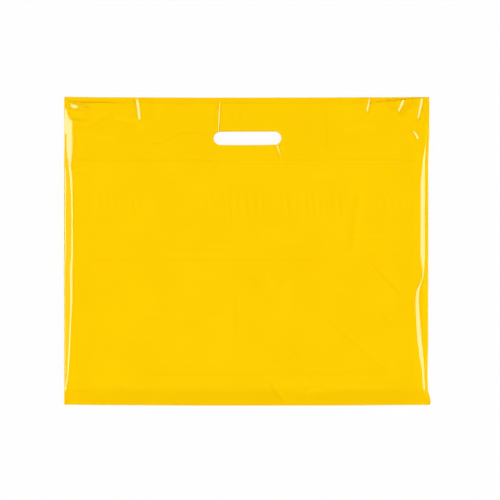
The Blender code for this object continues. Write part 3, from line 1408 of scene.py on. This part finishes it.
def film_creases() -> tuple[Crease, ...]:
    """The soft creases in the front, from the mouth down.

    Returns:
        The creases.
    """
    ridge, groove = Bulge.RIDGE, Bulge.GROOVE
    # the last number of each crease is its tone: painted shade above nought, painted highlight
    # below
    return (
        # left of the slot, a wandering groove
        Crease(
            ((-52.2, 170.2), (-58.5, 172.3), (-68.0, 176.4), (-77.3, 177.9), (-99.8, 176.4),
             (-114.8, 168.1), (-136.5, 159.8), (-146.3, 162.2)),
            1.3, 0.24, groove, 10.0, 3.0,
        ),
        # the crumpled corner above the left roll
        Crease(((-262, 196), (-240.7, 188.1), (-204.7, 208.6)), 2.6, 0.18, ridge, 8.0, -1.5),
        Crease(((-258, 190), (-238, 184.0), (-206.0, 203.6)), 3.4, 0.12, groove, 8.0, 1.6),
        Crease(((-206, 210), (-198, 195), (-160, 186)), 2.2, 0.16, groove, 8.0, 2.0),
        Crease(((-204, 206), (-194, 198), (-168, 196), (-150, 178)), 3.0, 0.2, ridge, 8.0, -1.7),
        Crease(((-256, 178), (-232, 172), (-190, 166)), 4.0, 0.2, ridge, 14.0, -1.2),
        # ends of the two turned-over tops
        Crease(((-262, 136.2), (266, 136.2)), 1.3, 0.05, groove, 20.0, 2.0),
        Crease(((-60, 131.2), (266, 131.2)), 1.3, 0.05, groove, 40.0, 1.0),
        Crease(((-20, 133.4), (225, 133.6)), 1.1, 0.05, ridge, 20.0, -1.8),
        # folds from packing
        Crease(
            ((-166, -183.2), (-40, -183.8), (90, -183.4), (222, -183.0)),
            1.4, 0.12, ridge, 30.0, 2.2,
        ),
        Crease(((-250, -12.4), (-60, -12.0), (124, -12.6)), 1.4, 0.10, groove, 30.0, 1.7),
        Crease(((-130, 2.2), (90, 1.8)), 1.5, 0.06, groove, 30.0, 0.9),
        # a groove, with painted shade beside its left flank and a painted highlight beside its
        # right
        Crease(((173, 106.7), (163, 40.0), (156, -10.2)), 6.5, 0.60, groove, 26.0),
        Crease(((168, 104.7), (158, 40.0), (151, -10.2)), 5.0, 0.0, groove, 30.0, 1.5),
        Crease(((178, 106.7), (168, 60.0), (162, -6.2)), 6.0, 0.0, ridge, 34.0, -1.4),
        Crease(((120.5, 219.6), (120.5, 143.4)), 1.8, 0.22, groove, 16.0, 2.2),
        Crease(((184.4, -15.7), (200, -34.0), (232.9, -68.6)), 1.9, 0.22, groove, 12.0, 2.8),
        Crease(
            ((117.5, -98.1), (150, -128), (184.9, -160.5), (215, -181)),
            2.0, 0.20, groove, 18.0, 2.0,
        ),
        Crease(((200, -92), (224, -120)), 2.4, 0.16, groove, 9.0, 1.8),
        Crease(((65.0, -140.1), (82.0, -168.1)), 2.4, 0.16, groove, 9.0, 1.7),
        Crease(((7.0, -32.0), (20.0, -62.0)), 2.4, 0.2, groove, 9.0, 1.7),
        Crease(((-17.0, -60.0), (-17.5, -132.0)), 2.6, 0.1, groove, 18.0, 1.4),
        Crease(((30.0, -20.0), (38.0, -60.0)), 4.5, 0.2, ridge, 14.0, -1.2),
        Crease(((62.0, -36.0), (58.0, -96.0)), 6.0, 0.2, ridge, 22.0, -1.0),
        Crease(((130.0, 118.0), (100.0, 112.0), (112.0, 98.0)), 3.0, 0.16, ridge, 10.0, -1.3),
        # right of the slot, and the pull towards the top corner
        Crease(((62.0, 172.0), (78.0, 182.0), (84.0, 166.0)), 3.2, 0.16, ridge, 9.0, -1.2),
        Crease(((256.9, 230.1), (238.0, 212.0), (224.0, 200.0)), 4.6, 0.5, groove, 10.0, 5.0),
        Crease(((262.0, 206.0), (252.0, 188.0)), 4.0, 0.3, groove, 10.0, 3.0),
        Crease(((141.0, 176.0), (170.0, 188.0), (200.0, 184.0)), 4.0, 0.2, ridge, 14.0, -1.2),
        # the margins beside the welds, paled with painted light that lifts the shade the side
        # rolls cast on them
        Crease(
            ((268.8, -226), (266.8, -140), (266.2, -80), (268.2, -20), (268.2, 60), (268.6, 134),
             (270.4, 200)),
            3.2, 0.0, ridge, 14.0, -4.2,
        ),
        Crease(
            ((-268.2, -190), (-267.2, -60), (-266.8, 60), (-268.6, 110)),
            2.4, 0.0, ridge, 14.0, -3.4,
        ),
        # wrinkle over the bottom fold
        Crease(((41.1, -196.5), (51.0, -212.0), (65.0, -228.9)), 1.6, 0.36, ridge, 6.0, -3.0),
        Crease(((33.0, -194.0), (44.0, -213.0), (56.0, -229.0)), 2.4, 0.3, groove, 6.0, 2.6),
        Crease(((84.0, -214.0), (104.0, -208.0), (122.0, -212.0)), 2.8, 0.2, ridge, 8.0, -2.2),
        Crease(((84.0, -190.0), (96.0, -204.0)), 2.4, 0.2, ridge, 8.0, -1.7),
    )


def nip_ripples() -> tuple[Chatter, ...]:
    """The patches of short ripples in the front.

    Returns:
        The patches.
    """
    # the last number of each patch is its tone: painted shade along the crests, painted highlight
    # in the troughs
    return (
        Chatter(-30, 44, 178, 222, 11.0, 0.10, 1.6),
        Chatter(-250, -146, 46, 96, 11.6, 0.06, 1.7),
        Chatter(-142, -98, 50, 94, 10.4, 0.06, 1.6),
        Chatter(-80, -36, 46, 92, 10.8, 0.06, 1.3),
        Chatter(-42, 44, 42, 98, 11.2, 0.07, 2.2),
        Chatter(42, 156, 46, 94, 10.8, 0.07, 2.0),
        Chatter(180, 246, 52, 90, 11.4, 0.06, 1.4),
    )


def side_rolls() -> tuple[SideRoll, SideRoll]:
    """The puffed film beside the left and the right weld.

    Returns:
        The left and the right roll.
    """
    # each row: place along the side, where it leaves, is steepest, eases, is flat; slope
    left = SideRoll(
        (
            (-232, 0.0, 3.0, 5.0, 10.0, 10.0),
            (-213, -1.0, 2.0, 3.0, 6.0, 17.0),
            (-201, -3.0, 1.6, 1.8, 4.6, 40.0),
            (-193, -3.0, 1.6, 3.9, 6.3, 40.5),
            (-175, -3.0, 1.6, 5.0, 9.0, 40.5),
            (-139, -3.0, 1.6, 7.2, 10.9, 40.5),
            (-103, -3.0, 1.6, 8.6, 12.8, 40.5),
            (-67, -3.0, 1.6, 9.6, 16.2, 40.5),
            (-31, -3.0, 1.6, 8.8, 16.6, 40.5),
            (5, -1.8, 2.9, 11.0, 17.0, 40.5),
            (41, -1.8, 2.9, 11.6, 15.4, 40.5),
            (77, -1.8, 2.9, 10.6, 15.8, 40.5),
            (113, -1.8, 2.9, 8.6, 15.4, 40.5),
            (122, -1.8, 3.3, 7.4, 13.4, 40.5),
            (126, -12.0, -6.0, 6.6, 13.0, 40.5),
            (132, -12.0, -6.0, 6.4, 13.3, 40.5),
            (143, -12.0, -6.0, 3.2, 18.6, 40.0),
            (156, -12.0, -6.0, 2.0, 21.6, 39.0),
            (172, -12.0, -6.0, 2.5, 22.0, 39.0),
            (183, -6.0, -1.0, 8.6, 17.2, 32.0),
            (194, -6.0, -1.0, 9.0, 17.6, 31.0),
            (201, -6.0, -1.0, 4.0, 10.0, 31.0),
            (209, -6.0, -1.0, 2.0, 8.0, 28.0),
            (216, 0.0, 4.0, 6.0, 12.0, 14.0),
            (232, 0.0, 4.0, 6.0, 12.0, 12.0),
        )
    )
    right = SideRoll(
        (
            (-232, -4.0, 3.5, 4.6, 7.0, 11.0),
            (-224, -4.0, 3.5, 3.6, 5.0, 24.0),
            (-216, -4.0, 6.0, 6.1, 7.4, 23.0),
            (-184, -4.0, 8.0, 8.1, 9.2, 23.2),
            (-148, -3.0, 13.0, 13.1, 14.2, 26.7),
            (-133, -2.0, 16.2, 16.3, 17.5, 26.0),
            (-69, -2.0, 18.4, 18.5, 20.0, 19.5),
            (-31, -5.0, 8.0, 8.1, 9.2, 21.0),
            (-6, -5.3, 11.0, 11.2, 12.1, 27.7),
            (92, -5.3, 11.0, 11.2, 12.1, 27.7),
            (137, -4.0, 8.0, 8.1, 9.2, 24.6),
            (160, -4.0, 5.2, 5.3, 7.0, 19.5),
            (175, -4.0, 6.0, 8.0, 13.0, 14.0),
            (232, -4.0, 6.0, 8.0, 13.0, 14.0),
        )
    )
    return left, right


@dataclass
class CarrierBag:
    """The whole bag: two sheets of film and the two welds that hold them."""

    sizes: BagSizes
    # painted shade for the back sheet, darkening the strip under the front lip
    strip_painted_shade: float = 1.0
    pins: Table = (
        (-178.8, -199.9), (160.3, -201.3), (-55.6, 137.3), (227.8, 133.7), (-257.9, 137.0),
    )

    def build(self) -> list[bpy.types.Object]:
        """Make every piece and tell the frame what each one is.

        Returns:
            The pieces.
        """
        sizes = self.sizes
        outline = Outline()
        layout = FilmLayout(sizes, outline)
        left, right = side_rolls()
        creases_and_ripples = film_creases() + nip_ripples()
        front = FrontForm(sizes, outline, left, right, film_buckles(), creases_and_ripples)
        slot = Slot(sizes.slot_shift, sizes.slot_y, sizes.slot_length, sizes.slot_height)
        film = PolytheneFilm(pins=self.pins).material()
        bead = MeltedBead().material()
        front_sheet = FrontSheet("film_front", layout, front, slot).build(film)
        back_sheet = BackSheet("film_back", layout, front, slot, self.strip_painted_shade).build(film)
        welds = [SideWeld(side, layout).build(bead) for side in Side]
        pieces = [front_sheet, back_sheet, *welds]
        for piece in pieces:
            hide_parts(CAD_NODE)
            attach(piece, "root")
        return pieces


# ---------------------------------------------------------------- the studio


@dataclass(frozen=True)
class Studio:
    """A white table, a soft box on each side and a camera overhead, in metres."""

    floor_size: float = 9.0
    floor_base: float = 0.04
    floor_glow: float = 0.943
    light_reach: float = 4.0
    light_from_zenith: float = 62.5
    light_tall: float = 2.66
    left_wide: float = 4.46
    right_wide: float = 4.34
    watts_per_square_metre: float = 22.6
    sky: float = 0.1
    sky_low: float = 0.17
    sky_top: float = 0.57
    camera_height: float = 2.5
    lens: float = 120.0
    look_at: Place = (0.0051, 0.0018)

    def build(self) -> None:
        """Make the table, lights, sky and camera."""
        self._table()
        self._soft_box("soft_box_left", Side.LEFT, self.left_wide)
        self._soft_box("soft_box_right", Side.RIGHT, self.right_wide)
        self._sky()
        self._camera()

    def _table(self) -> None:
        """A large white sheet that glows, so that it shows as plain white."""
        half = self.floor_size / 2
        mesh = bpy.data.meshes.new("floor")
        corners = [(-half, -half, 0), (half, -half, 0), (half, half, 0), (-half, half, 0)]
        mesh.from_pydata(corners, [], [(0, 1, 2, 3)])
        material = bpy.data.materials.new("white_table")
        material.use_nodes = True
        shader = material.node_tree.nodes["Principled BSDF"]
        shader.inputs["Base Color"].default_value = (*[self.floor_base] * 3, 1.0)
        shader.inputs["Roughness"].default_value = 1.0
        shader.inputs["Specular IOR Level"].default_value = 0.0
        shader.inputs["Emission Color"].default_value = (1.0, 1.0, 1.0, 1.0)
        shader.inputs["Emission Strength"].default_value = self.floor_glow
        mesh.materials.append(material)
        floor = bpy.data.objects.new("floor", mesh)
        bpy.context.scene.collection.objects.link(floor)

    def _soft_box(self, name: str, side: Side, wide: float) -> None:
        """One soft box, facing the bag from the side.

        Args:
            name: the light's name.
            side: the side of the bag that it stands on.
            wide: its width, in metres.
        """
        light = bpy.data.lights.new(name, "AREA")
        light.shape = "RECTANGLE"
        light.size, light.size_y = wide, self.light_tall
        light.energy = self.watts_per_square_metre * wide * self.light_tall
        lamp = bpy.data.objects.new(name, light)
        lean = math.radians(self.light_from_zenith)
        toward = Vector((side.value * math.sin(lean), 0.0, math.cos(lean)))
        across = Vector((0.0, 1.0, 0.0))
        up = toward.cross(across)
        turn = Matrix((across, up, across.cross(up))).transposed()
        if turn.col[2].dot(toward) < 0:
            turn = Matrix((-across, up, (-across).cross(up))).transposed()
        lamp.matrix_world = Matrix.Translation(toward * self.light_reach) @ turn.to_4x4()
        bpy.context.scene.collection.objects.link(lamp)

    def _sky(self) -> None:
        """A dark ceiling over a pale horizon, which fades evenly with the height's sine."""
        world = bpy.data.worlds.new("studio")
        bpy.context.scene.world = world
        world.use_nodes = True
        tree = world.node_tree
        direction = add_node(tree, "ShaderNodeTexCoord").outputs["Generated"]
        height = add_node(tree, "ShaderNodeSeparateXYZ", {"Vector": direction}).outputs["Z"]
        glow = add_node(
            tree, "ShaderNodeMapRange",
            {
                "Value": height, "From Min": self.sky_low, "From Max": self.sky_top,
                "To Min": self.sky, "To Max": 0.0,
            },
        ).outputs["Result"]
        tree.links.new(glow, tree.nodes["Background"].inputs["Strength"])
        tree.nodes["Background"].inputs["Color"].default_value = (1.0, 1.0, 1.0, 1.0)

    def _camera(self) -> None:
        """A long lens straight overhead, with the mouth at the top of the frame."""
        camera = bpy.data.objects.new("camera", bpy.data.cameras.new("camera"))
        camera.data.lens = self.lens
        camera.data.sensor_width = 36.0
        camera.location = (*self.look_at, self.camera_height)
        bpy.context.scene.collection.objects.link(camera)
        bpy.context.scene.camera = camera
        bpy.context.scene.view_settings.view_transform = "Standard"


def main() -> None:
    """Build the bag and its studio in order."""
    logging.basicConfig(level=logging.INFO, format="%(name)s: %(message)s")
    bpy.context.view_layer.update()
    low, high = (np.array(corner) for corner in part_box(CAD_NODE))
    width, height, loft = (high - low) / MM
    for piece in CarrierBag(BagSizes(float(width), float(height), float(loft) - 0.2)).build():
        LOG.info("%s: %d faces", piece.name, len(piece.data.polygons))
    Studio().build()


if __name__ == "__main__":
    main()
